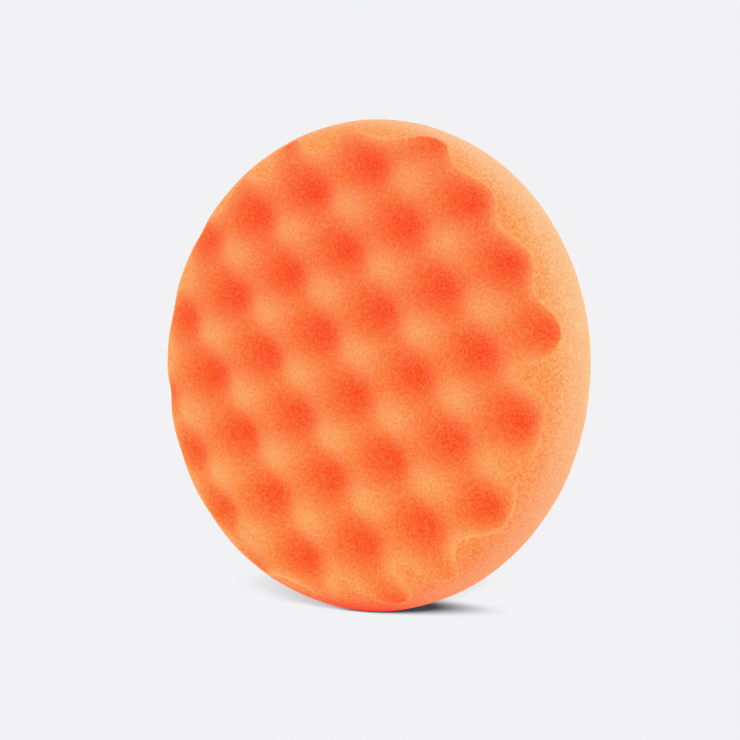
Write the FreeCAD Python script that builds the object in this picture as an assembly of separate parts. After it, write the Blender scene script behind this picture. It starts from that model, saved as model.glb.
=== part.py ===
"""A waffle-faced foam polishing pad with a loop-fabric back, as its separate pieces.

The frame, in millimetres: the origin is the centre of the loop face, where the polisher's hook-faced
backing plate grips. +Y is the pad's spin axis, pointing out of the loop face towards the polisher, so the
waffle face looks towards -Y. +Z is up for a pad that stands on its rim.

A place along the axis is given as a depth: the distance behind the plane that the waffle's peaks touch.
"""

import FreeCAD, Part

import math
import os

from FreeCAD import Vector

# Foam body
PAD_RADIUS = 75.0
FOAM_THICKNESS = 30.0  # from the waffle's peaks to the foam's flat back
WIDEST_DEPTH = 16.2  # where the side wall reaches PAD_RADIUS
FACE_EDGE_RADIUS = 60.75  # where the front rounding meets the plane of the peaks
BACK_EDGE_RADIUS = 63.8  # where the back rounding meets the flat back

# Waffle: pits and peaks of a rhombic egg-crate surface
WAFFLE_DEPTH = 8.0  # from a peak down to the bottom of a pit
CELL_LONG = 36.2  # pit to pit along the pattern's long axis
CELL_SHORT = 26.5  # pit to pit along its short axis
PATTERN_TILT = -20.3  # degrees, the long axis from +X towards +Z
PIT_X = 13.5  # one pit's place on the face
PIT_Z = 16.0

# Hook-and-loop back
LOOP_DISC_RADIUS = 63.5
FILM_THICKNESS = 0.2
CLOTH_THICKNESS = 0.5
PILE_HEIGHT = 1.5

# Modelling allowances
BLANK_ALLOWANCE = 1.0  # how far the uncut foam stands in front of the peaks, so that all its front is cut
CUTTER_REACH = PAD_RADIUS + 10.0  # half the side of the square that the waffle cutter covers
POINTS_PER_CELL = 12  # surface points along each side of a pattern cell

LAYER_THICKNESS = FILM_THICKNESS + CLOTH_THICKNESS + PILE_HEIGHT
PAD_THICKNESS = FOAM_THICKNESS + LAYER_THICKNESS


def y_at(depth):
    """The Y of a depth behind the plane of the peaks."""
    return depth - PAD_THICKNESS


def rounding(centre_radius, edge_depth):
    """A quarter ellipse of the side wall, from the flat at edge_depth out to the widest circle."""
    centre = Vector(centre_radius, y_at(WIDEST_DEPTH), 0)
    on_flat = Vector(centre_radius, y_at(edge_depth), 0)
    on_widest = Vector(PAD_RADIUS, y_at(WIDEST_DEPTH), 0)
    ellipse = Part.Ellipse(on_flat, on_widest, centre)
    return ellipse.toShape(0, math.pi / 2)


def turned(outline):
    """The solid that a closed outline in the XY plane sweeps round the Y axis."""
    face = Part.Face(Part.Wire(outline))
    return face.revolve(Vector(0, 0, 0), Vector(0, 1, 0), 360)


def foam_blank():
    """The disc of foam with both its roundings, before the waffle is cut."""
    front = y_at(-BLANK_ALLOWANCE)
    peaks = y_at(0)
    back = y_at(FOAM_THICKNESS)
    outline = [
        Part.makeLine(Vector(0, front, 0), Vector(FACE_EDGE_RADIUS, front, 0)),
        Part.makeLine(Vector(FACE_EDGE_RADIUS, front, 0), Vector(FACE_EDGE_RADIUS, peaks, 0)),
        rounding(FACE_EDGE_RADIUS, 0),
        rounding(BACK_EDGE_RADIUS, FOAM_THICKNESS),
        Part.makeLine(Vector(BACK_EDGE_RADIUS, back, 0), Vector(0, back, 0)),
        Part.makeLine(Vector(0, back, 0), Vector(0, front, 0)),
    ]
    return turned(outline)


def waffle_depth(along, across):
    """Depth of the waffle at a place measured from a pit, along the pattern's long and short axes."""
    wave = math.cos(2 * math.pi * along / CELL_LONG) * math.cos(2 * math.pi * across / CELL_SHORT)
    return WAFFLE_DEPTH * (1 + wave) / 2


def steps(middle, cell):
    """Evenly spaced places that cover the cutter's reach, measured from a pit."""
    spacing = cell / POINTS_PER_CELL
    count = math.ceil(CUTTER_REACH / spacing)
    return [middle + i * spacing for i in range(-count, count + 1)]


def waffle_cutter():
    """The space in front of the waffle surface, as a solid block with the waffle for its floor."""
    tilt = math.radians(PATTERN_TILT)
    long_axis = Vector(math.cos(tilt), 0, math.sin(tilt))
    short_axis = Vector(-math.sin(tilt), 0, math.cos(tilt))
    pit = Vector(PIT_X, 0, PIT_Z)
    middle_along = -pit.dot(long_axis)
    middle_across = -pit.dot(short_axis)
    grid = []
    for along in steps(middle_along, CELL_LONG):
        row = []
        for across in steps(middle_across, CELL_SHORT):
            place = pit + long_axis * along + short_axis * across
            row.append(Vector(place.x, y_at(waffle_depth(along, across)), place.z))
        grid.append(row)
    surface = Part.BSplineSurface()
    surface.interpolate(grid)
    to_front = Vector(0, -(WAFFLE_DEPTH + 2 * BLANK_ALLOWANCE), 0)
    return surface.toShape().extrude(to_front)


def foam_body():
    """The foam disc with its waffle face."""
    return foam_blank().cut(waffle_cutter())


def back_layer(distance, thickness):
    """A disc of the back, lying from distance behind the foam's back to that plus its thickness."""
    start = Vector(0, y_at(FOAM_THICKNESS + distance), 0)
    return Part.makeCylinder(LOOP_DISC_RADIUS, thickness, start, Vector(0, 1, 0))


def adhesive_film():
    """The hot-melt film that bonds the loop fabric to the foam."""
    return back_layer(0, FILM_THICKNESS)


def loop_base_cloth():
    """The knitted ground of the loop fabric."""
    return back_layer(FILM_THICKNESS, CLOTH_THICKNESS)


def loop_pile():
    """The layer of yarn loops that stands on the ground and catches the hooks."""
    return back_layer(FILM_THICKNESS + CLOTH_THICKNESS, PILE_HEIGHT)


def main():
    os.makedirs("parts", exist_ok=True)
    for piece in (foam_body, adhesive_film, loop_base_cloth, loop_pile):
        shape = piece()
        shape.exportStep(f"parts/{piece.__name__}.step")


main()
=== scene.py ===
import math
import random

import bpy
import numpy as np
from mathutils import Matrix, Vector, noise


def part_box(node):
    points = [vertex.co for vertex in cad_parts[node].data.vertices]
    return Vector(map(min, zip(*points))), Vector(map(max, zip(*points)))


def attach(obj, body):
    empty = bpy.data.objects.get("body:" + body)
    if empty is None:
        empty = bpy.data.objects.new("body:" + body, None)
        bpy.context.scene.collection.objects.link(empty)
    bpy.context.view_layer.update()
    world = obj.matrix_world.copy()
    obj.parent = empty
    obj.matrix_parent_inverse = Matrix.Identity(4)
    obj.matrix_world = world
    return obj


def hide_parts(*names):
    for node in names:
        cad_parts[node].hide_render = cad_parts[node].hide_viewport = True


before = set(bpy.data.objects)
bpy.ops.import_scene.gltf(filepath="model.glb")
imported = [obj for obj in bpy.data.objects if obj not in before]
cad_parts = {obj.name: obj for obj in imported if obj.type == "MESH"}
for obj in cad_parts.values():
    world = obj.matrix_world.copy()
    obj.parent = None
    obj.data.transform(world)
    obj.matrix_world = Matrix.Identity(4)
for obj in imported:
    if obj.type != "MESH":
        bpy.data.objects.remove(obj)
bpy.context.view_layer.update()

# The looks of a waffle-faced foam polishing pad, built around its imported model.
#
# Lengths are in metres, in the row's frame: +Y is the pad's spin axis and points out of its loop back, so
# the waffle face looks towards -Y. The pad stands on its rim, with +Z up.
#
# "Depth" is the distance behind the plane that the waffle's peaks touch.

MM = 0.001

# ----------------------------------------------------------------------------------------------------------
# The foam's shape: its overall size comes from the frame, and the rest are driving sizes of the CAD model
# ----------------------------------------------------------------------------------------------------------

foam_low, foam_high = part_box("foam_body")
PAD_RADIUS = (foam_high.x - foam_low.x) / 2
PEAK_PLANE_Y = foam_low.y
FOAM_THICKNESS = foam_high.y - foam_low.y

WIDEST_DEPTH = 16.2 * MM  # where the side wall reaches the pad's radius
FACE_EDGE_RADIUS = 60.75 * MM  # where the front rounding meets the plane of the peaks
BACK_EDGE_RADIUS = 63.8 * MM  # where the back rounding meets the flat back

WAFFLE_DEPTH = 8.0 * MM  # from a peak down to the bottom of a pit
CELL_LONG = 36.2 * MM  # pit to pit along the pattern's long axis
CELL_SHORT = 26.5 * MM  # pit to pit along its short axis
PATTERN_TILT = math.radians(-20.3)  # the long axis, from +X towards +Z
PIT_X = 13.5 * MM  # one pit's place on the face
PIT_Z = 16.0 * MM

# ----------------------------------------------------------------------------------------------------------
# How the foam is cut up into a mesh, and its small irregularities
# ----------------------------------------------------------------------------------------------------------

FACE_GRID = 240  # squares along each side of the grid that covers the face and the front rounding
WALL_RINGS = 36  # rings of squares from the widest circle to the flat back
OUTLINE_POINTS = 400  # points on each curve of the outline, before it is spaced evenly

EDGE_SOFTNESS = 1.1 * MM  # how close in depth the waffle and the rounding are where they start to blend
FAR_PAST_EDGE = 5.0 * MM  # distances from the edge between the two are held at this
LEAST_CROSSING = 0.15  # the least slope between the two that a distance is worked out with
SLOPE_STEP = 0.1 * MM

SURROUND = 4.0 * MM  # how far around it a place is mostly compared with, to tell a pit from a peak
SURROUND_REACH = 2 * SURROUND  # how far around it a place is compared with at all
SURROUND_RINGS = 5
SURROUND_STEPS = 12
SUNKEN_RANGE = 3.3 * MM  # how far a pit's bottom lies below its surroundings, or a peak above them

LUMP_SIZE = 14.0 * MM
LUMP_HEIGHT = 0.15 * MM
LUMP_SEED = 1
GRAIN_SIZE = 1.5 * MM
GRAIN_HEIGHT = 0.04 * MM
CUT_GRAIN_HEIGHT = 0.06 * MM  # on the cut rounding, which is coarser than the waffle
GRAIN_SEED = 2
SEED_SHIFT = Vector((7.3, 3.1, 5.7))  # how far one seed's noise lies from the next, in features
FLAT_BACK = 0.999  # share of the foam's thickness past which a point lies on its flat back


def quarter_ellipse(centre_radius, edge_depth):
    """Radius and depth along the side wall, from the flat at edge_depth out to the widest circle."""
    turn = np.linspace(0, math.pi / 2, OUTLINE_POINTS)
    radius = centre_radius + (PAD_RADIUS - centre_radius) * np.sin(turn)
    depth = WIDEST_DEPTH + (edge_depth - WIDEST_DEPTH) * np.cos(turn)
    return radius, depth


def front_outline():
    """The flat of the peaks, then the front rounding out to the widest circle."""
    radius, depth = quarter_ellipse(FACE_EDGE_RADIUS, 0)
    return np.insert(radius, 0, 0), np.insert(depth, 0, 0)


def back_outline():
    """From the widest circle to the flat back."""
    radius, depth = quarter_ellipse(BACK_EDGE_RADIUS, FOAM_THICKNESS)
    return radius[::-1], depth[::-1]


def along_curve(radius, depth, shares):
    """Places on a curve at the given shares of its length."""
    steps = np.hypot(np.diff(radius), np.diff(depth))
    length = np.concatenate([[0], np.cumsum(steps)])
    wanted = np.asarray(shares) * length[-1]
    return np.interp(wanted, length, radius), np.interp(wanted, length, depth)


def waffle_depth(x, z):
    """Depth of the egg-crate surface."""
    dx = x - PIT_X
    dz = z - PIT_Z
    along = dx * math.cos(PATTERN_TILT) + dz * math.sin(PATTERN_TILT)
    across = -dx * math.sin(PATTERN_TILT) + dz * math.cos(PATTERN_TILT)
    wave = np.cos(2 * math.pi * along / CELL_LONG) * np.cos(2 * math.pi * across / CELL_SHORT)
    return WAFFLE_DEPTH * (1 + wave) / 2


def deeper(a, b, softness):
    """The greater of two depths, rounded where they cross."""
    blend = np.clip(softness - np.abs(a - b), 0, None) / softness
    return np.maximum(a, b) + blend * blend * softness / 4


def rounding_depth(x, z):
    """Depth of the front rounding, which starts at the plane of the peaks."""
    outward = np.clip((np.hypot(x, z) - FACE_EDGE_RADIUS) / (PAD_RADIUS - FACE_EDGE_RADIUS), 0, 1)
    return WIDEST_DEPTH * (1 - np.sqrt(1 - outward * outward))


def front_depth(x, z):
    """Depth of the pad's front, waffle and rounding together, no deeper than the waffle's pits."""
    return np.minimum(np.maximum(waffle_depth(x, z), rounding_depth(x, z)), WAFFLE_DEPTH)


def past_edge(x, z):
    """How far the rounding lies below the waffle: above zero where the rounding has cut the waffle away."""
    return rounding_depth(x, z) - waffle_depth(x, z)


def distance_past_edge(x, z):
    """Distance from the waffle onto the cut rounding, and how steeply the two meet."""
    step = SLOPE_STEP
    slope_x = (past_edge(x + step, z) - past_edge(x - step, z)) / (2 * step)
    slope_z = (past_edge(x, z + step) - past_edge(x, z - step)) / (2 * step)
    crossing = np.hypot(slope_x, slope_z)
    distance = past_edge(x, z) / np.maximum(crossing, LEAST_CROSSING)
    on_flat = np.hypot(x, z) < FACE_EDGE_RADIUS
    return np.clip(np.where(on_flat, -FAR_PAST_EDGE, distance), -FAR_PAST_EDGE, FAR_PAST_EDGE), crossing


def sunkenness(x, z):
    """How much deeper the front is at a place than on average around it."""
    around = np.zeros_like(x)
    total = 0
    for ring in range(1, SURROUND_RINGS + 1):
        distance = SURROUND_REACH * ring / SURROUND_RINGS
        weight = distance * math.exp(-((distance / SURROUND) ** 2) / 2)
        for step in range(SURROUND_STEPS):
            turn = 2 * math.pi * (step + ring / 2) / SURROUND_STEPS
            around += weight * front_depth(x + distance * math.cos(turn), z + distance * math.sin(turn))
            total += weight
    return front_depth(x, z) - around / total


def grid_squares(index):
    """The squares between the neighbouring points of a grid, given the points' numbers."""
    corners = [index[:-1, :-1], index[:-1, 1:], index[1:, 1:], index[1:, :-1]]
    return np.stack([c.ravel() for c in corners], axis=1)


def face_grid(count):
    """A square grid bent into a disc: its points' shares of the radius and angles, its squares, its rim."""
    side = np.linspace(-1, 1, count + 1)
    b, a = np.meshgrid(side, side, indexing="ij")
    beside = np.abs(a) >= np.abs(b)  # in the quarters to the left and right, not above and below
    safe_a = np.where(a == 0, 1, a)
    safe_b = np.where(b == 0, 1, b)
    angle = np.where(beside, math.pi / 4 * b / safe_a, math.pi / 2 - math.pi / 4 * a / safe_b)
    signed_share = np.where(beside, a, b)
    angle = np.where(signed_share < 0, angle + math.pi, angle)
    index = np.arange((count + 1) ** 2).reshape(count + 1, count + 1)
    rim = np.concatenate([index[:-1, -1], index[-1, :0:-1], index[:0:-1, 0], index[0, :-1]])
    return np.abs(signed_share).ravel(), angle.ravel(), grid_squares(index), rim


def ring_squares(inner, outer):
    """Squares between two closed loops of points."""
    return np.stack([inner, outer, np.roll(outer, -1), np.roll(inner, -1)], axis=1)


def fan(loop, centre):
    """Triangles from a closed loop of points to one point in its middle."""
    return [[a, b, centre] for a, b in zip(loop.tolist(), np.roll(loop, -1).tolist())]


def new_piece(name, points, faces, material):
    """A smooth-shaded mesh object."""
    mesh = bpy.data.meshes.new(name)
    mesh.from_pydata(points.tolist(), [], [list(face) for face in faces])
    mesh.materials.append(material)
    mesh.validate()
    mesh.polygons.foreach_set("use_smooth", [True] * len(mesh.polygons))
    mesh.update()
    piece = bpy.data.objects.new(name, mesh)
    bpy.context.scene.collection.objects.link(piece)
    return piece


def set_attribute(piece, name, values):
    """Stores one number per point, for the material to read."""
    layer = piece.data.attributes.new(name, "FLOAT", "POINT")
    layer.data.foreach_set("value", np.asarray(values, np.float32))


def point_normals(piece):
    """The outward direction at each point."""
    values = np.zeros(len(piece.data.vertices) * 3, np.float32)
    piece.data.vertex_normals.foreach_get("vector", values)
    return values.reshape(-1, 3).astype(float)


def noise_at(points, size, seed):
    """Smooth noise of about -1 to 1, with features of the given size."""
    shift = SEED_SHIFT * seed
    return np.array([noise.noise(Vector(p) / size + shift) for p in points.tolist()])


def foam_net():
    """Radius, depth and angle of each of the foam's points, before the waffle is cut, and its faces."""
    share, angle, squares, loop = face_grid(FACE_GRID)
    radius, depth = along_curve(*front_outline(), share)
    wall_radius, wall_depth = along_curve(*back_outline(), np.arange(1, WALL_RINGS + 1) / WALL_RINGS)
    count = len(loop)
    loop_angle = angle[loop]
    faces = [squares]
    for ring in range(WALL_RINGS):
        next_loop = len(radius) + np.arange(count)
        radius = np.concatenate([radius, np.full(count, wall_radius[ring])])
        depth = np.concatenate([depth, np.full(count, wall_depth[ring])])
        angle = np.concatenate([angle, loop_angle])
        faces.append(ring_squares(loop, next_loop))
        loop = next_loop
    back = fan(loop, len(radius))
    radius = np.append(radius, 0)
    depth = np.append(depth, FOAM_THICKNESS)
    angle = np.append(angle, 0)
    return radius, depth, angle, np.concatenate(faces).tolist() + back


def foam_shape():
    """Points and faces of the foam, and what the material has to know about each point."""
    radius, depth, angle, faces = foam_net()
    x = radius * np.cos(angle)
    z = radius * np.sin(angle)
    on_front = depth < WIDEST_DEPTH
    surface = np.where(on_front, deeper(waffle_depth(x, z), depth, EDGE_SOFTNESS), depth)
    edge, crossing = distance_past_edge(x, z)
    marks = {
        "pit": np.clip(0.5 + 0.5 * sunkenness(x, z) / SUNKEN_RANGE, 0, 1),  # 0 on a peak, 1 down in a pit
        "edge": np.where(on_front, edge, FAR_PAST_EDGE),
        "crossing": np.where(on_front, crossing, 0),
        "reach": np.clip(depth / FOAM_THICKNESS, 0, 1),  # 0 at the peaks, 1 at the flat back
    }
    return np.stack([x, PEAK_PLANE_Y + surface, z], axis=1), faces, marks


def roughen(piece, marks):
    """Moves the foam's points inwards a little, here more and there less, as cut foam is never true."""
    points = np.array([v.co for v in piece.data.vertices])
    lumps = LUMP_HEIGHT * noise_at(points, LUMP_SIZE, LUMP_SEED)
    height = np.where(marks["edge"] > 0, CUT_GRAIN_HEIGHT, GRAIN_HEIGHT)
    grain = height * noise_at(points, GRAIN_SIZE, GRAIN_SEED)
    out = np.where(marks["reach"] > FLAT_BACK, 0, lumps - LUMP_HEIGHT + grain)
    points += point_normals(piece) * out[:, None]
    points[:, 2] = np.maximum(points[:, 2], -PAD_RADIUS)
    piece.data.vertices.foreach_set("co", points.astype(np.float32).ravel())
    piece.data.update()


# ----------------------------------------------------------------------------------------------------------
# Materials
# ----------------------------------------------------------------------------------------------------------


class Nodes:
    """A node tree, filled by short calls."""

    def __init__(self, tree):
        self.tree = tree
        self.tree.nodes.clear()

    def node(self, kind, inputs=None, **settings):
        """A new node. An input may be a number, a colour or another node's output."""
        made = self.tree.nodes.new(kind)
        for key, value in settings.items():
            setattr(made, key, value)
        for key, value in (inputs or {}).items():
            self.plug(made.inputs[key], value)
        return made

    def plug(self, socket, value):
        """Gives an input its value, or links another node's output to it."""
        if isinstance(value, bpy.types.NodeSocket):
            self.tree.links.new(value, socket)
        elif socket.type == "RGBA":
            socket.default_value = (*value, 1)
        else:
            socket.default_value = value

    def mark(self, name):
        """One of the numbers stored on the mesh's points."""
        return self.node("ShaderNodeAttribute", attribute_name=name).outputs["Fac"]

    def math(self, operation, a, b=0.0):
        """Arithmetic on one or two values."""
        return self.node("ShaderNodeMath", {0: a, 1: b}, operation=operation).outputs[0]

    def between(self, value, low, high, at_low, at_high):
        """Runs from at_low to at_high as the value goes from low to high, and is held at both ends."""
        inputs = {"Value": value, "From Min": low, "From Max": high, "To Min": at_low, "To Max": at_high}
        return self.node("ShaderNodeMapRange", inputs, clamp=True).outputs["Result"]

    def ramp(self, value, stops):
        """Colours along a value."""
        made = self.node("ShaderNodeValToRGB", {"Fac": value})
        elements = made.color_ramp.elements
        while len(elements) < len(stops):
            elements.new(0.5)
        for element, (place, colour) in zip(elements, stops):
            element.position = place
            element.color = (*colour, 1)
        return made.outputs["Color"]

    def grey(self, value):
        """A number as a colour."""
        inputs = {"Red": value, "Green": value, "Blue": value}
        return self.node("ShaderNodeCombineColor", inputs).outputs["Color"]

    def mix(self, share, a, b, blend="MIX"):
        """Colour a turning into colour b, or into the two blended."""
        inputs = {"Factor": share, "A": a, "B": b}
        return self.node("ShaderNodeMix", inputs, data_type="RGBA", blend_type=blend).outputs["Result"]

    def tint(self, colour, share, by):
        """A colour multiplied by another where the share is 1, and left alone where it is 0."""
        return self.mix(share, colour, by, blend="MULTIPLY")


class Material(Nodes):
    """A material with one surface."""

    def __init__(self, name):
        self.material = bpy.data.materials.new(name)
        self.material.use_nodes = True
        super().__init__(self.material.node_tree)
        self.surface = self.node("ShaderNodeBsdfPrincipled")
        self.node("ShaderNodeOutputMaterial", {"Surface": self.surface.outputs["BSDF"]})
        self.place = self.node("ShaderNodeTexCoord").outputs["Object"]

    def grain(self, size, detail=2.0, roughness=0.6):
        """Noise of 0 to 1 around 0.5."""
        inputs = {"Vector": self.place, "Scale": 1 / size, "Detail": detail, "Roughness": roughness}
        return self.node("ShaderNodeTexNoise", inputs).outputs["Fac"]

    def bump(self, height, distance, strength):
        """Makes the surface look uneven."""
        inputs = {"Height": height, "Distance": distance, "Strength": strength}
        self.set(Normal=self.node("ShaderNodeBump", inputs).outputs["Normal"])

    def set(self, **inputs):
        """Gives the surface its colour, roughness and so on, by the names of its inputs."""
        for key, value in inputs.items():
            self.plug(self.surface.inputs[key.replace("_", " ")], value)


# In the materials' values, four numbers together are two values of a mark, a noise or a height, and what
# comes out at each of the two. A number with a colour after it is one such value, and the colour there.

# The waffle's colours by "pit": the foam's orange, with painted shade that makes it redder and darker
# down in the pits. The wall's colours by "reach"
WAFFLE_COLOURS_AND_SHADE = ((0.15, (0.99, 0.320, 0.102)), (0.5, (0.99, 0.178, 0.044)), (0.85, (0.98, 0.068, 0.015)))
WALL_COLOURS = ((0.10, (0.99, 0.250, 0.070)), (0.32, (0.99, 0.318, 0.138)), (0.55, (0.99, 0.316, 0.162)))

SHALLOW_CROSSING = 0.5  # slope between waffle and rounding at which they run into each other
STEEP_CROSSING = 1.1  # slope between them that makes a crisp edge
SHALLOW_EDGE_BLEND = 2.4 * MM  # how far either side of the edge their colours mix, where it is shallow
STEEP_EDGE_BLEND = 0.4 * MM
# Painted highlight: a lighter line along the crisp edges where the waffle meets the rounding
RIDGE_HIGHLIGHT_COLOUR = (0.99, 0.38, 0.145)
RIDGE_HIGHLIGHT_REACH = 0.7 * MM  # either side of a crisp edge, for the lighter line along it
RIDGE_HIGHLIGHT_WEIGHT = 0.55
# Painted sheen: the colour turns paler where the foam is seen at a low angle
GRAZING_SHEEN_COLOUR = (0.99, 0.41, 0.185)  # where the foam is seen at a low angle, across the tips of its cells
GRAZING_SHEEN_WEIGHT = 0.35
GRAZING_SHEEN_CURVE = 2.0

# The pores: fine ones everywhere, and coarse ones that fade from the front of the wall to its back.
FINE_PORE_SIZE = 0.75 * MM
FINE_PORE_DEPTH = (0.2, 0.8, 1.20, 0.80)  # by the noise, as a power of the colour
FINE_PORE_SHADE = (0.25, 0.6, 0.82, 1.0)  # by the noise, as a share of the colour
WAFFLE_PORES = (0.15, 0.85, 0.68, 1.22)  # how strong the fine pores are, by "pit"
WALL_PORES = (0.25, 0.6, 0.95, 0.65)  # the same by "reach"
COARSE_PORE_SIZE = 1.5 * MM
COARSE_PORE_DEPTH = (0.3, 0.7, 1.09, 0.95)
COARSE_PORES = (0.05, 0.35, 1.0, 0.1)  # how strong the coarse pores are, by "reach"
PORE_BUMP = 0.5 * MM
PORE_BUMP_STRENGTH = 0.4

# Painted shade: redder and darker low on the wall, more so towards its back
PAINTED_UNDERSIDE_SHADE = (1.0, 0.62, 0.60)
UNDERSIDE_BY_HEIGHT = (-PAD_RADIUS, PAD_RADIUS / 4, 1.0, 0.0)
UNDERSIDE_BY_REACH = (0.0, 0.2, 0.0, 1.0)
UNDERSIDE_CURVE = 1.8
# Painted shade: the face turns redder towards its top
PAINTED_UPPER_FACE_SHADE = (1.0, 0.86, 1.0)
UPPER_FACE_BY_HEIGHT = (-PAD_RADIUS / 2, PAD_RADIUS * 0.6, 0.0, 1.0)
# Painted light: the wall turns paler high up and towards its back
PAINTED_UPPER_WALL_LIGHT = (1.0, 1.09, 1.27)
UPPER_WALL_BY_HEIGHT = (PAD_RADIUS / 2, PAD_RADIUS * 0.8, 0.0, 1.0)
UPPER_WALL_BY_REACH = (0.0, 0.5, 0.15, 1.0)
# Painted shade: dark red along the rim where the pad stands on the floor
PAINTED_CONTACT_SHADE = (1.0, 0.03, 0.02)
CONTACT_BY_HEIGHT = (-PAD_RADIUS, -PAD_RADIUS + 9.0 * MM, 1.0, 0.0)
CONTACT_CURVE = 1.6

SCATTER_WEIGHT = 0.15
SCATTER_DISTANCE = 0.6 * MM
SCATTER_SPREAD = (1.0, 0.35, 0.15)  # red light goes farthest in the foam


def foam_colour_and_painted_light(m, cut, pit, reach):
    """The foam's orange, light on the peaks, with painted shade that makes it redder down in the pits, a
    painted highlight along crisp edges and a painted sheen where it is seen at a low angle.
    """
    # Painted shade: the ramp by "pit" darkens and reddens the waffle down in its pits
    colour = m.mix(cut, m.ramp(pit, WAFFLE_COLOURS_AND_SHADE), m.ramp(reach, WALL_COLOURS))
    # Painted highlight along the crisp edges
    steep = m.between(m.mark("crossing"), SHALLOW_CROSSING, STEEP_CROSSING, 0.0, RIDGE_HIGHLIGHT_WEIGHT)
    ridge = m.between(m.math("ABSOLUTE", m.mark("edge")), 0.0, RIDGE_HIGHLIGHT_REACH, 1.0, 0.0)
    colour = m.mix(m.math("MULTIPLY", ridge, steep), colour, RIDGE_HIGHLIGHT_COLOUR)
    # Painted sheen: paler where the surface is seen at a low angle
    facing = m.node("ShaderNodeLayerWeight", {"Blend": 0.5}).outputs["Facing"]
    painted_sheen = m.math("MULTIPLY", m.math("POWER", facing, GRAZING_SHEEN_CURVE), GRAZING_SHEEN_WEIGHT)
    return m.mix(painted_sheen, colour, GRAZING_SHEEN_COLOUR)


def foam_shading(m, colour, cut, uncut, reach):
    """Painted shade, redder and darker low on the wall and at the floor, and redder high on the face;
    painted light, paler high on the wall.
    """
    height = m.node("ShaderNodeSeparateXYZ", {"Vector": m.place}).outputs["Z"]
    wall = m.math("MULTIPLY", cut, m.between(reach, *UNDERSIDE_BY_REACH))
    back_of_wall = m.math("MULTIPLY", cut, m.between(reach, *UPPER_WALL_BY_REACH))
    low = m.math("POWER", m.between(height, *UNDERSIDE_BY_HEIGHT), UNDERSIDE_CURVE)
    high = m.between(height, *UPPER_FACE_BY_HEIGHT)
    top = m.between(height, *UPPER_WALL_BY_HEIGHT)
    contact = m.math("POWER", m.between(height, *CONTACT_BY_HEIGHT), CONTACT_CURVE)
    # Painted shade low on the wall
    colour = m.tint(colour, m.math("MULTIPLY", wall, low), PAINTED_UNDERSIDE_SHADE)
    # Painted shade high on the face
    colour = m.tint(colour, m.math("MULTIPLY", uncut, high), PAINTED_UPPER_FACE_SHADE)
    # Painted light high on the wall
    colour = m.tint(colour, m.math("MULTIPLY", back_of_wall, top), PAINTED_UPPER_WALL_LIGHT)
    # Painted shade where the pad meets the floor
    return m.tint(colour, contact, PAINTED_CONTACT_SHADE)


def foam_material():
    """Open-cell foam: a waffle face, a cut rounding that is coarser, and pores everywhere."""
    m = Material("orange_foam")
    fine = m.grain(FINE_PORE_SIZE, detail=1.5, roughness=0.6)
    coarse = m.grain(COARSE_PORE_SIZE, detail=2.0, roughness=0.65)
    pit = m.mark("pit")
    reach = m.mark("reach")
    crossing = m.mark("crossing")
    blend = m.between(crossing, SHALLOW_CROSSING, STEEP_CROSSING, SHALLOW_EDGE_BLEND, STEEP_EDGE_BLEND)
    cut = m.between(m.math("DIVIDE", m.mark("edge"), blend), -1.0, 1.0, 0.0, 1.0)
    uncut = m.math("SUBTRACT", 1.0, cut)

    waffle_strength = m.math("MULTIPLY", uncut, m.between(pit, *WAFFLE_PORES))
    wall_strength = m.math("MULTIPLY", cut, m.between(reach, *WALL_PORES))
    fine_strength = m.math("ADD", waffle_strength, wall_strength)
    coarse_strength = m.math("MULTIPLY", cut, m.between(reach, *COARSE_PORES))
    fine_depth = m.math("POWER", m.between(fine, *FINE_PORE_DEPTH), fine_strength)
    coarse_depth = m.math("POWER", m.between(coarse, *COARSE_PORE_DEPTH), coarse_strength)
    pore_shade = m.math("POWER", m.between(fine, *FINE_PORE_SHADE), fine_strength)

    # A pore holds light for more bounces, and each takes out more of the green and blue: a power does that
    bounces = m.math("MULTIPLY", fine_depth, coarse_depth)
    # The foam's colour with its painted shade, painted highlight and painted sheen
    painted_colour = foam_colour_and_painted_light(m, cut, pit, reach)
    colour = m.node("ShaderNodeGamma", {"Color": painted_colour, "Gamma": bounces}).outputs["Color"]
    colour = foam_shading(m, colour, cut, uncut, reach)
    m.set(Base_Color=m.tint(colour, 1.0, m.grey(pore_shade)), Roughness=1.0, Specular_IOR_Level=0.0)
    m.set(Subsurface_Weight=SCATTER_WEIGHT, Subsurface_Scale=SCATTER_DISTANCE)
    m.set(Subsurface_Radius=SCATTER_SPREAD)
    relief = m.math("ADD", fine, m.math("MULTIPLY", coarse_strength, coarse))
    m.bump(relief, PORE_BUMP, PORE_BUMP_STRENGTH)
    return m.material


FILM_CLOUD_SIZE = 3.0 * MM
FILM_COLOURS = ((0.3, (0.55, 0.47, 0.33)), (0.7, (0.72, 0.66, 0.52)))
FILM_ROUGHNESS = (0.3, 0.7, 0.35, 0.6)
FILM_BUMP = 0.1 * MM
FILM_BUMP_STRENGTH = 0.5


def film_material():
    """Hot-melt film that has soaked into the cloth and the foam."""
    m = Material("hot_melt_film")
    cloud = m.grain(FILM_CLOUD_SIZE, detail=4.0)
    m.set(Base_Color=m.ramp(cloud, FILM_COLOURS), Roughness=m.between(cloud, *FILM_ROUGHNESS))
    m.bump(cloud, FILM_BUMP, FILM_BUMP_STRENGTH)
    return m.material


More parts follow.
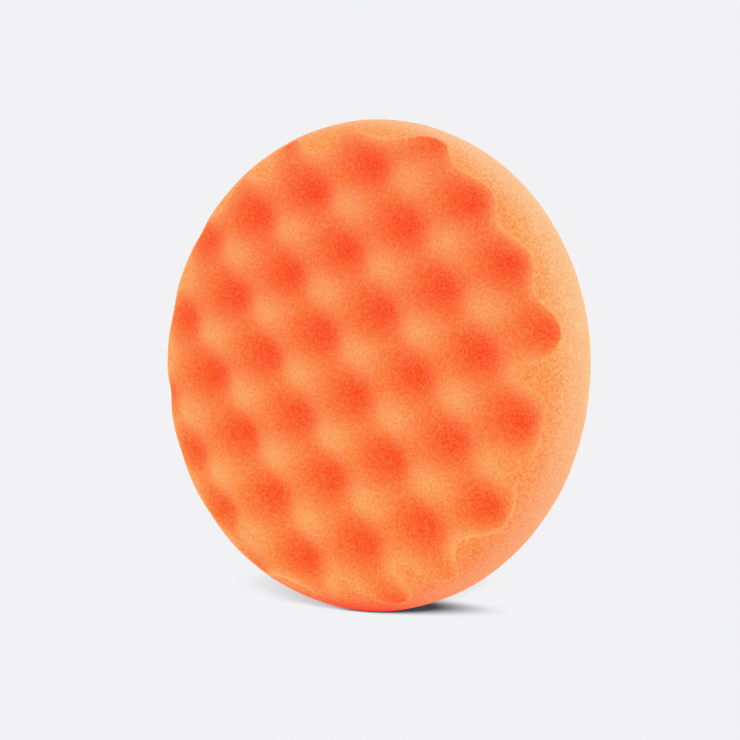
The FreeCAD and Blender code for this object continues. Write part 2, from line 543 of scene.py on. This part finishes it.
NAP_SIZE = 11.0 * MM
NAP_SHADE = (0.3, 0.7, 0.7, 1.0)  # from where the nap lies away from the light to where it lies towards it
NAP_ROUGHNESS = (0.3, 0.7, 0.9, 0.7)
CLOTH_SHEEN = 0.3
CLOTH_SHEEN_ROUGHNESS = 0.4
FIBRE_DARKEST = 0.3  # noise values where a yarn's filaments are darkest and lightest
FIBRE_LIGHTEST = 0.7
FIBRE_BUMP = 0.05 * MM
FIBRE_BUMP_STRENGTH = 0.6


def cloth_material(name, dark, light, thread):
    """Nylon yarn, with its filaments running in and out of the light and its nap brushed here and there."""
    m = Material(name)
    fibre = m.grain(thread, detail=4.0, roughness=0.7)
    nap = m.grain(NAP_SIZE, detail=3.0)
    colour = m.ramp(fibre, ((FIBRE_DARKEST, dark), (FIBRE_LIGHTEST, light)))
    colour = m.tint(colour, 1.0, m.grey(m.between(nap, *NAP_SHADE)))
    m.set(Base_Color=colour, Roughness=m.between(nap, *NAP_ROUGHNESS))
    m.set(Sheen_Weight=CLOTH_SHEEN, Sheen_Roughness=CLOTH_SHEEN_ROUGHNESS)
    m.bump(fibre, FIBRE_BUMP, FIBRE_BUMP_STRENGTH)
    return m.material


# ----------------------------------------------------------------------------------------------------------
# Pieces
# ----------------------------------------------------------------------------------------------------------


def stand_for(piece, node):
    """Shows a piece in place of a CAD node."""
    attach(piece, "root")
    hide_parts(node)


def build_foam():
    """The waffle-faced foam."""
    points, faces, marks = foam_shape()
    foam = new_piece("waffle_foam", points, faces, foam_material())
    for name, values in marks.items():
        set_attribute(foam, name, values)
    roughen(foam, marks)
    stand_for(foam, "foam_body")


RIM_WAVES = (37, 23)  # waves round a layer's rim, which multiplied together look cut by hand


def layer_disc(name, node, grid, material, wobble, relief):
    """A thin round layer of the back: its outer face from a bent grid, a rim wall, and a flat inner face."""
    low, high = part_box(node)
    share, angle, squares, rim = face_grid(grid)
    wave = np.sin(angle * RIM_WAVES[0]) * np.sin(angle * RIM_WAVES[1])
    radius = share * ((high.x - low.x) / 2 - wobble + wobble * wave)
    x = radius * np.cos(angle)
    z = radius * np.sin(angle)
    outer = np.stack([x, high.y - relief(x, z), z], axis=1)
    inner_loop = np.stack([x[rim], np.full(len(rim), low.y), z[rim]], axis=1)
    centre = np.array([[0, low.y, 0]])
    loop = len(outer) + np.arange(len(rim))
    rim_wall = ring_squares(loop, rim)
    inner = [triangle[::-1] for triangle in fan(loop, len(outer) + len(rim))]
    faces = squares[:, ::-1].tolist() + rim_wall.tolist() + inner
    return new_piece(name, np.concatenate([outer, inner_loop, centre]), faces, material)


FILM_GRID = 48
FILM_WOBBLE = 0.15 * MM


def no_relief(x, z):
    """A flat surface."""
    return np.zeros(len(x))


def build_film():
    """The hot-melt film between the foam and the cloth."""
    film = layer_disc("hot_melt_film", "adhesive_film", FILM_GRID, film_material(), FILM_WOBBLE, no_relief)
    stand_for(film, "adhesive_film")


CLOTH_GRID = 160
CLOTH_WOBBLE = 0.1 * MM
CLOTH_THREAD = 0.25 * MM
CLOTH_DARK = (0.006, 0.006, 0.007)
CLOTH_LIGHT = (0.022, 0.022, 0.024)
WALE_SPACING = 1.6 * MM  # between columns of loops
COURSE_SPACING = 2.0 * MM  # between rows of loops
KNIT_RELIEF = 0.12 * MM
COLUMN_SHARE = 0.7  # of the relief, for the columns of stitches; the rest is for the rows


def knit_relief(x, z):
    """How far the ground cloth's surface dips between its columns of stitches."""
    column = np.cos(2 * math.pi * x / WALE_SPACING)
    row = np.cos(4 * math.pi * z / COURSE_SPACING + math.pi * np.abs(column))
    return KNIT_RELIEF * (1 - COLUMN_SHARE * np.abs(column) - (1 - COLUMN_SHARE) * row * row)


def build_cloth():
    """The knitted ground of the loop fabric."""
    material = cloth_material("knit_ground", CLOTH_DARK, CLOTH_LIGHT, CLOTH_THREAD)
    cloth = layer_disc("knitted_cloth", "loop_base_cloth", CLOTH_GRID, material, CLOTH_WOBBLE, knit_relief)
    stand_for(cloth, "loop_base_cloth")


YARN_RADIUS = 0.16 * MM
YARN_SIDES = 4
YARN_THREAD = 0.12 * MM
YARN_DARK = (0.035, 0.035, 0.038)
YARN_LIGHT = (0.15, 0.15, 0.157)
LOOP_SPAN = 1.1 * MM
LOOP_LEAN = 0.45 * MM
LOOP_TURN = 0.6  # radians either way
LOOP_STEPS = 7
LOOP_CURL = 0.12  # how far past a half turn each foot curls in, in half turns
LOOP_FEET = 0.37  # how far the feet lie below the middle of the arch, as a share of its radius
LOOP_SHORTEST = 0.72  # share of the pile's height
COLUMN_WANDER = 0.2 * MM
ROW_WANDER = 0.25 * MM
LOOP_SEED = 5


def loop_path(foot_y, tip_y):
    """Where a loop's yarn runs: across, along Y, and how far up the loop it is."""
    turn = np.linspace(-LOOP_CURL * math.pi, (1 + LOOP_CURL) * math.pi, LOOP_STEPS)
    across = LOOP_SPAN / 2 * np.cos(turn)
    up = np.clip((np.sin(turn) + LOOP_FEET) / (1 + LOOP_FEET), 0, 1)
    return across, foot_y + (tip_y - foot_y) * up, up


def yarn_points(x, z, turn, lean, foot_y, tip_y):
    """Points round the yarn of one loop, ring by ring."""
    forward = np.array([math.cos(turn), 0, math.sin(turn)])
    sideways = np.array([-math.sin(turn), 0, math.cos(turn)])
    across, y, up = loop_path(foot_y, tip_y)
    path = np.array([x, 0, z]) + across[:, None] * forward + (up * lean)[:, None] * sideways
    path[:, 1] = y
    tangent = np.gradient(path, axis=0)
    tangent /= np.linalg.norm(tangent, axis=1, keepdims=True)
    normal = sideways - tangent * (tangent @ sideways)[:, None]
    normal /= np.linalg.norm(normal, axis=1, keepdims=True)
    binormal = np.cross(tangent, normal)
    around = np.arange(YARN_SIDES) * 2 * math.pi / YARN_SIDES
    along_normal = np.cos(around)[None, :, None] * normal[:, None]
    along_binormal = np.sin(around)[None, :, None] * binormal[:, None]
    return (path[:, None] + YARN_RADIUS * (along_normal + along_binormal)).reshape(-1, 3)


def yarn_faces(start):
    """Faces of one loop's yarn, a tube with closed ends, from the number of its first point."""
    faces = []
    last = start + (LOOP_STEPS - 1) * YARN_SIDES
    for ring in range(start, last, YARN_SIDES):
        following = ring + YARN_SIDES
        for side in range(YARN_SIDES):
            beside = (side + 1) % YARN_SIDES
            faces.append([ring + side, ring + beside, following + beside, following + side])
    faces.append([start + side for side in reversed(range(YARN_SIDES))])
    faces.append([last + side for side in range(YARN_SIDES)])
    return faces


def build_pile():
    """Yarn loops standing in rows on the ground cloth."""
    low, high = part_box("loop_pile")
    foot_y = low.y - YARN_RADIUS
    reach = (high.x - low.x) / 2 - LOOP_SPAN / 2 - YARN_RADIUS - LOOP_LEAN
    draw = random.Random(LOOP_SEED)
    columns = int(reach / WALE_SPACING)
    rows = int(reach / COURSE_SPACING)
    points = []
    faces = []
    for column in range(-columns, columns + 1):
        for row in range(-rows, rows + 1):
            x = column * WALE_SPACING + draw.uniform(-COLUMN_WANDER, COLUMN_WANDER)
            z = (row + 0.5 * (column % 2)) * COURSE_SPACING + draw.uniform(-ROW_WANDER, ROW_WANDER)
            turn = draw.uniform(-LOOP_TURN, LOOP_TURN)
            lean = draw.uniform(-1, 1) * LOOP_LEAN
            tip_y = foot_y + (high.y - low.y) * draw.uniform(LOOP_SHORTEST, 1.0)
            if math.hypot(x, z) > reach:
                continue
            faces += yarn_faces(len(points) * LOOP_STEPS * YARN_SIDES)
            points.append(yarn_points(x, z, turn, lean, foot_y, tip_y))
    material = cloth_material("loop_yarn", YARN_DARK, YARN_LIGHT, YARN_THREAD)
    pile = new_piece("yarn_loops", np.concatenate(points), faces, material)
    stand_for(pile, "loop_pile")


# ----------------------------------------------------------------------------------------------------------
# Floor, light and camera
# ----------------------------------------------------------------------------------------------------------

BACKDROP = (0.888, 0.888, 0.905)
FLOOR_SPAN = 3.0  # from the middle of the floor to its edges
FLOOR_CROWDING = 6.0  # how strongly the floor's points crowd together near the pad
FLOOR_COLUMNS = 220
FLOOR_ROWS = 180
FLOOR_LIGHT = 1.4  # how brightly the floor lights the pad, which is brighter than the camera sees it
SHADOW_COLOUR = (0.03, 0.03, 0.033)
SHADOW_STRENGTH = 0.97
SHADOW_DIRECTIONS = 1000
PAD_SLICES = 8  # discs that stand for the pad when its shadow is worked out

# Each shadow: where its light mostly comes from, how far off the pad still takes some of it away, the share
# of that light left where the shadow is full and where the shadow ends, and how it fades between the two
CONTACT_SHADOW = {
    "light_from": (-0.266, -0.832, -0.486),
    "reach": 38 * MM,
    "full": 0.795,
    "none": 0.892,
    "curve": 1.7,
}
CAST_SHADOW = {
    "light_from": (0.366, -0.383, -0.848),
    "reach": 152 * MM,
    "full": 0.895,
    "none": 0.975,
    "curve": 0.65,
}


def sky_directions(count):
    """Directions spread evenly over everything above the floor."""
    number = np.arange(count) + 0.5
    up = number / count
    turn = math.pi * (1 + math.sqrt(5)) * number
    level = np.sqrt(1 - up * up)
    return np.stack([level * np.cos(turn), level * np.sin(turn), up], axis=1)


def pad_discs():
    """Slices of the pad: where each starts and ends along Y, and its radius."""
    front_radius, front_depths = front_outline()
    back_radius, back_depths = back_outline()
    ends = np.linspace(0, FOAM_THICKNESS, PAD_SLICES + 1)
    middles = (ends[:-1] + ends[1:]) / 2
    depths = np.concatenate([front_depths, back_depths])
    radius = np.interp(middles, depths, np.concatenate([front_radius, back_radius]))
    return list(zip(PEAK_PLANE_Y + ends[:-1], PEAK_PLANE_Y + ends[1:], radius))


def distance_to_pad(x, y, direction, discs):
    """Distance from places on the floor to the pad in one direction, infinite where the pad is missed."""
    along_x, along_y, along_z = direction
    flat = along_x * along_x + along_z * along_z
    half = x * along_x - PAD_RADIUS * along_z
    nearest = np.full(len(x), np.inf)
    for start, end, radius in discs:
        spread = half * half - flat * (x * x + PAD_RADIUS * PAD_RADIUS - radius * radius)
        root = np.sqrt(np.maximum(spread, 0))
        to_start = (start - y) / along_y
        to_end = (end - y) / along_y
        enters = np.maximum(np.maximum((-half - root) / flat, np.minimum(to_start, to_end)), 0)
        leaves = np.minimum((-half + root) / flat, np.maximum(to_start, to_end))
        hit = (spread > 0) & (leaves > enters)
        nearest = np.where(hit, np.minimum(nearest, enters), nearest)
    return nearest


def light_left(shadow, taken):
    """Share of the floor's light that one shadow leaves, given how much of its own light the pad takes."""
    depth = np.clip((taken - 1 + shadow["none"]) / (shadow["none"] - shadow["full"]), 0, 1)
    return 1 - SHADOW_STRENGTH * depth ** shadow["curve"]


def floor_light(x, y):
    """Share of the light left on the floor by the pad's contact shadow and its faint cast shadow."""
    shadows = (CONTACT_SHADOW, CAST_SHADOW)
    taken = [np.zeros(len(x)) for _ in shadows]
    discs = pad_discs()
    for direction in sky_directions(SHADOW_DIRECTIONS):
        distance = distance_to_pad(x, y, direction, discs)
        for total, shadow in zip(taken, shadows):
            weight = 2 * max(0.0, float(np.dot(direction, shadow["light_from"]))) / SHADOW_DIRECTIONS
            total += weight * np.clip(2 - 2 * distance / shadow["reach"], 0, 1)
    return light_left(shadows[0], taken[0]) * light_left(shadows[1], taken[1])


def smoothed(values):
    """A grid of values, each averaged with its neighbours."""
    for axis in (0, 1):
        values = (np.roll(values, 1, axis) + 2 * values + np.roll(values, -1, axis)) / 4
    return values


def crowded(count):
    """Places from one edge of the floor to the other, closest together in the middle."""
    return FLOOR_SPAN * np.sinh(np.linspace(-1, 1, count + 1) * FLOOR_CROWDING) / math.sinh(FLOOR_CROWDING)


def seen_and_light(nodes, kind, seen, light):
    """Shows the camera one colour, and lights everything else with another."""
    light_shader = nodes.node(kind, {"Color": light}).outputs[0]
    seen_shader = nodes.node(kind, {"Color": seen}).outputs[0]
    by_camera = nodes.node("ShaderNodeLightPath").outputs["Is Camera Ray"]
    return nodes.node("ShaderNodeMixShader", {0: by_camera, 1: light_shader, 2: seen_shader}).outputs[0]


def floor_material():
    """The backdrop's colour, darker by the shade stored on the floor's points."""
    material = bpy.data.materials.new("studio_floor")
    material.use_nodes = True
    nodes = Nodes(material.node_tree)
    seen = nodes.mix(nodes.mark("light"), SHADOW_COLOUR, BACKDROP)
    shader = seen_and_light(nodes, "ShaderNodeEmission", seen, (FLOOR_LIGHT,) * 3)
    nodes.node("ShaderNodeOutputMaterial", {"Surface": shader})
    return material


def build_floor():
    """A pale floor that reads as one with the backdrop, except where the pad stands and shades it."""
    columns = crowded(FLOOR_COLUMNS)
    rows = crowded(FLOOR_ROWS) + (foam_low.y + foam_high.y) / 2
    x, y = (grid.ravel() for grid in np.meshgrid(columns, rows))
    points = np.stack([x, y, np.full(len(x), -PAD_RADIUS)], axis=1)
    index = np.arange(len(x)).reshape(FLOOR_ROWS + 1, FLOOR_COLUMNS + 1)
    floor = new_piece("studio_floor", points, grid_squares(index).tolist(), floor_material())
    set_attribute(floor, "light", smoothed(floor_light(x, y).reshape(index.shape)).ravel())


DOME = 1.15  # radiance of the plain white dome
KEY_FROM = (-0.75, -0.65, 0.10)
KEY_SHARE = 0.22  # each lamp's strength, as a share of the dome's
RIM_FROM = (0.82, 0.42, 0.36)
RIM_SHARE = 0.5
LAMP_SOFTNESS = math.radians(70)


def add_lamp(name, source, share):
    """A large soft light a long way off, as a wide sun."""
    lamp = bpy.data.objects.new(name, bpy.data.lights.new(name, "SUN"))
    bpy.context.scene.collection.objects.link(lamp)
    lamp.data.energy = math.pi * DOME * share
    lamp.data.angle = LAMP_SOFTNESS
    lamp.rotation_euler = Vector(source).to_track_quat("Z", "Y").to_euler()


def build_light():
    """A plain bright dome, with a soft key from the left and a soft rim light from behind on the right."""
    world = bpy.data.worlds.new("studio")
    bpy.context.scene.world = world
    world.use_nodes = True
    nodes = Nodes(world.node_tree)
    shader = seen_and_light(nodes, "ShaderNodeBackground", BACKDROP, (DOME,) * 3)
    nodes.node("ShaderNodeOutputWorld", {"Surface": shader})
    add_lamp("key", KEY_FROM, KEY_SHARE)
    add_lamp("rim", RIM_FROM, RIM_SHARE)


TONE_WHITE = 2.0  # the brightest light that the tone curve holds
TONE_CURVE = ((0.0, 0.0), (0.905, 0.905), (0.95, 0.945), (1.1, 0.955), (1.4, 0.962), (2.0, 0.968))
ALL_CHANNELS = 3  # the tone curve that acts on red, green and blue together


def set_tones():
    """Plain tones up to the backdrop's, then a shoulder that holds bright foam just short of full."""
    view = bpy.context.scene.view_settings
    view.view_transform = "Standard"
    view.use_curve_mapping = True
    mapping = view.curve_mapping
    mapping.white_level = (TONE_WHITE,) * 3
    points = mapping.curves[ALL_CHANNELS].points
    while len(points) < len(TONE_CURVE):
        points.new(0.5, 0.5)
    for point, (light, shown) in zip(points, TONE_CURVE):
        point.location = (light / TONE_WHITE, shown)
        point.handle_type = "VECTOR"
    mapping.update()


CAMERA_TURN = math.radians(34.9)  # from straight in front of the face, towards its right
CAMERA_DISTANCE = 461.7 * MM  # from the middle of the face, along the line of sight
CAMERA_RIGHT = 10.85 * MM  # how far right of the middle of the face the line of sight passes
CAMERA_DROP = 1.48 * MM  # how far below the middle of the face it passes
LENS_MM = 75.4
SENSOR_MM = 36
CLOSEST_SEEN = 0.01
FARTHEST_SEEN = 20


def build_camera():
    """A level camera in front of the face and to its right."""
    sight = Vector((-math.sin(CAMERA_TURN), math.cos(CAMERA_TURN), 0))
    right = Vector((math.cos(CAMERA_TURN), math.sin(CAMERA_TURN), 0))
    face = Vector((0, PEAK_PLANE_Y, 0))
    camera = bpy.data.objects.new("camera", bpy.data.cameras.new("camera"))
    bpy.context.scene.collection.objects.link(camera)
    camera.location = face - sight * CAMERA_DISTANCE + right * CAMERA_RIGHT - Vector((0, 0, CAMERA_DROP))
    camera.rotation_euler = sight.to_track_quat("-Z", "Y").to_euler()
    camera.data.lens = LENS_MM
    camera.data.sensor_width = SENSOR_MM
    camera.data.clip_start = CLOSEST_SEEN
    camera.data.clip_end = FARTHEST_SEEN
    bpy.context.scene.camera = camera


build_foam()
build_film()
build_cloth()
build_pile()
build_floor()
build_light()
build_camera()
set_tones()
